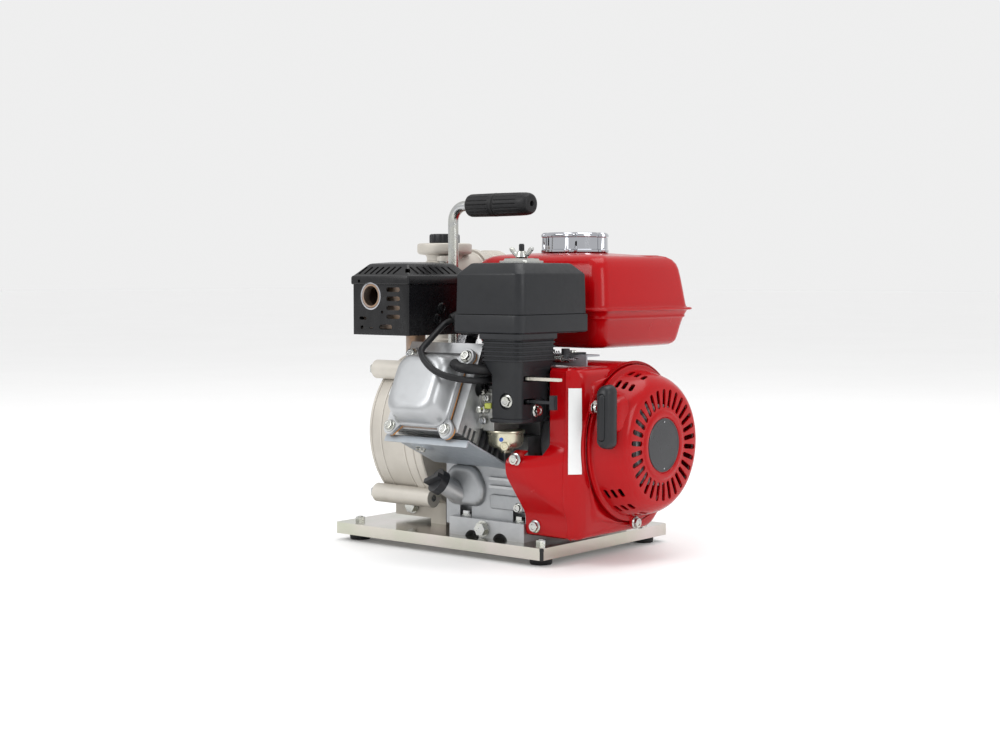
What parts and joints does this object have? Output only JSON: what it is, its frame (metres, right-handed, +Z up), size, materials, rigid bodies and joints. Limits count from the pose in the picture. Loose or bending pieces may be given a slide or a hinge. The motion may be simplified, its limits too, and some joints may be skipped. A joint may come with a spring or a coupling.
{
  "type": "portable fire pump",
  "caption": "Portable petrol fire pump: single-cylinder engine, close-coupled centrifugal pump, rubber-footed base plate and one-hand carrying handle.",
  "frame": {"origin": "middle of the footprint at the undersides of the rubber feet", "axes": "+Z up, +X towards the recoil starter (crank axis), -X towards the suction port, -Y towards the cylinder head and air cleaner"},
  "size_m": [0.403, 0.3654, 0.4023],
  "materials": {
    "zinc_plate": "yellow-zinc plated sheet, satin",
    "zinc_steel": "bright zinc plated, satin",
    "steel_bright": "machined",
    "chrome_cap": "polished",
    "rubber_black": "matt",
    "engine_alu": "die-cast, satin",
    "cover_alu": "painted silver, satin",
    "pump_alu": "sand-cast, warm satin",
    "cast_iron_dark": "machined iron",
    "red_paint": "gloss",
    "grey_paint": "satin",
    "black_paint": "satin, heat resistant",
    "heat_steel": "heat stained",
    "black_plastic": "satin, moulded",
    "fan_plastic": "moulded",
    "grey_plastic": "moulded",
    "pale_plastic": "moulded",
    "gasket_brown": "pressed fibre",
    "badge_grey": "blank disc",
    "filter_foam": "oiled foam",
    "rope_white": "braided",
    "bowl_zinc": "yellow passivated",
    "carb_zinc": "die-cast"
  },
  "bodies": {
    "engine": {"base_plate": "zinc_plate", "rubber_feet": "rubber_black", "foot_fasteners": "zinc_steel", "engine_block": "engine_alu", "crankcase_cover": "engine_alu", "engine_bolts": "zinc_steel", "drain_plugs": "zinc_steel", "piston": "engine_alu", "connecting_rod": "engine_alu", "main_bearings": "steel_bright", "cylinder_head": "engine_alu", "valve_cover_gasket": "gasket_brown", "valve_cover": "cover_alu", "valve_cover_bolts": "zinc_steel", "valves": "steel_bright", "valve_springs": "steel_bright", "rocker_arms": "steel_bright", "spark_plug": "steel_bright", "spark_plug_cap": "rubber_black", "ignition_lead": "rubber_black", "breather_hose": "rubber_black", "ignition_coil": "black_plastic", "fan_shroud": "red_paint", "cover_bolts": "zinc_steel", "cylinder_side_plate": "grey_paint", "recoil_housing": "red_paint", "recoil_badge": "badge_grey", "carburettor": "carb_zinc", "float_bowl": "bowl_zinc", "control_bracket": "grey_paint", "governor_linkage": "zinc_steel", "air_cleaner_base": "black_plastic", "air_filter": "filter_foam", "air_cleaner_cover": "black_plastic", "muffler": "heat_steel", "muffler_guard": "black_paint", "fuel_tank": "red_paint", "pump_adapter": "pump_alu", "pump_casing": "pump_alu", "casing_bolts": "zinc_steel", "pump_seal": "rubber_black", "discharge_manifold": "pump_alu", "handle_rod": "zinc_steel", "handle_grip": "rubber_black"},
    "rotor": {"crankshaft": "steel_bright", "flywheel": "cast_iron_dark", "cooling_fan": "fan_plastic", "impeller": "cast_iron_dark"},
    "cam": {"camshaft": "steel_bright"},
    "reel": {"rope_reel": "grey_plastic"},
    "grip": {"starter_grip": "black_plastic", "starter_rope": "rope_white"},
    "fuel_lid": {"fuel_cap": "chrome_cap"},
    "priming_lid": {"priming_cap": "black_plastic"},
    "oil_lid": {"oil_filler_cap": "black_plastic"},
    "choke": {"choke_lever": "pale_plastic"},
    "fuel_valve": {"fuel_valve_lever": "black_plastic"},
    "throttle": {"throttle_lever": "black_plastic"},
    "cleaner_nut": {"wing_nut": "zinc_steel"},
    "switch": {"stop_switch": "black_plastic"}
  },
  "joints": [
    {"name": "rotor_spin", "type": "hinge", "parent": "engine", "child": "rotor", "pos_m": [-0.0295, 0.00968, 0.127], "axis": [1, 0, 0], "continuous": true},
    {"name": "cam_spin", "type": "hinge", "parent": "engine", "child": "cam", "pos_m": [-0.0295, -0.01314, 0.07806], "axis": [1, 0, 0], "continuous": true},
    {"name": "reel_spin", "type": "hinge", "parent": "engine", "child": "reel", "pos_m": [0.1865, 0.00968, 0.127], "axis": [1, 0, 0], "range_deg": [0, 1145]},
    {"name": "rope_pull", "type": "slide", "parent": "engine", "child": "grip", "axis": [0, -1, 0], "range_m": [0, 0.7]},
    {"name": "fuel_cap_turn", "type": "hinge", "parent": "engine", "child": "fuel_lid", "pos_m": [0.0215, 0.08768, 0.347], "axis": [0, 0, 1], "range_deg": [0, 90]},
    {"name": "priming_cap_turn", "type": "hinge", "parent": "engine", "child": "priming_lid", "pos_m": [-0.1135, 0.00968, 0.3535], "axis": [0, 0, 1], "range_deg": [0, 720]},
    {"name": "oil_cap_turn", "type": "hinge", "parent": "engine", "child": "oil_lid", "pos_m": [-0.02143, -0.09959, 0.07804], "axis": [-0.3478, -0.795, 0.4969], "range_deg": [0, 720]},
    {"name": "choke_swing", "type": "hinge", "parent": "engine", "child": "choke", "pos_m": [0.1105, -0.11132, 0.201], "axis": [0, 0, 1], "range_deg": [-30, 0]},
    {"name": "fuel_valve_swing", "type": "hinge", "parent": "engine", "child": "fuel_valve", "pos_m": [0.1105, -0.11132, 0.177], "axis": [0, 0, 1], "range_deg": [-30, 0]},
    {"name": "throttle_swing", "type": "hinge", "parent": "engine", "child": "throttle", "pos_m": [0.1205, -0.03232, 0.225], "axis": [0, 0, 1], "range_deg": [-45, 15]},
    {"name": "wing_nut_turn", "type": "hinge", "parent": "engine", "child": "cleaner_nut", "pos_m": [0.0745, -0.07832, 0.331], "axis": [0, 0, 1], "range_deg": [0, 720]},
    {"name": "stop_switch_turn", "type": "hinge", "parent": "engine", "child": "switch", "pos_m": [0.1225, 0.10768, 0.115], "axis": [0, 1, 0], "range_deg": [0, 60]}
  ],
  "couplings": [
    {"joint": "cam_spin", "follows": "rotor_spin", "ratio": -0.5},
    {"joint": "rope_pull", "follows": "reel_spin", "m_per_rad": 0.035}
  ]
}
